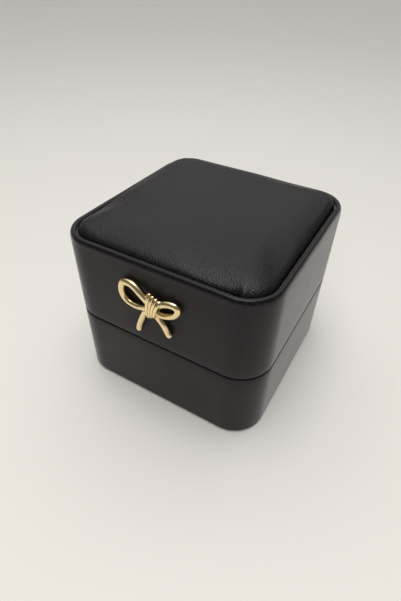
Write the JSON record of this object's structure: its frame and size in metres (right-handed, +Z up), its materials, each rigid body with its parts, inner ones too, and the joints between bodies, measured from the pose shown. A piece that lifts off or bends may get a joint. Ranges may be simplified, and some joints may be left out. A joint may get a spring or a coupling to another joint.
{
  "type": "jewelry gift box",
  "caption": "Small hinged presentation box for a ring, wrapped in black leatherette, with a padded top in a rolled rim, a gold bow on the front and a soft slit insert.",
  "frame": {"origin": "middle of the underside, on the surface that the box rests on", "axes": "+X to the right and -Y out of the front face with the bow, +Z up through the lid"},
  "size_m": [0.066, 0.0719, 0.057],
  "materials": {
    "leatherette": "satin black, fine pebble grain",
    "moulded_core": "moulded, matt",
    "underside": "bonded sheet, matt, coarse grain",
    "suede": "short-pile suede cloth, cream",
    "card": "grey board",
    "foam": "open-cell foam",
    "gold": "polished, pale gold plating",
    "hinge_steel": "bright zinc plating"
  },
  "bodies": {
    "base": {"base_shell": "moulded_core", "base_leather": "leatherette", "base_back_panel": "leatherette", "bottom_sheet": "underside", "base_liner": "suede", "insert_card": "card", "ring_core_front": "foam", "ring_core_back": "foam", "ring_cushion_front": "suede", "ring_cushion_back": "suede", "hinge_base_leaf": "hinge_steel", "hinge_pin": "hinge_steel", "hinge_spring": "hinge_steel", "base_rivets": "hinge_steel"},
    "lid": {"lid_shell": "moulded_core", "lid_leather": "leatherette", "lid_back_panel": "leatherette", "top_card": "card", "top_foam": "foam", "top_cushion": "leatherette", "lid_liner": "suede", "lid_pad_card": "card", "lid_pad_foam": "foam", "lid_pad": "suede", "bow": "gold", "bow_clips": "hinge_steel", "hinge_lid_leaf": "hinge_steel", "lid_rivets": "hinge_steel"}
  },
  "joints": [
    {"name": "lid_hinge", "type": "hinge", "parent": "base", "child": "lid", "pos_m": [0, 0.0329, 0.026], "axis": [-1, 0, 0], "range_deg": [0, 95]}
  ]
}
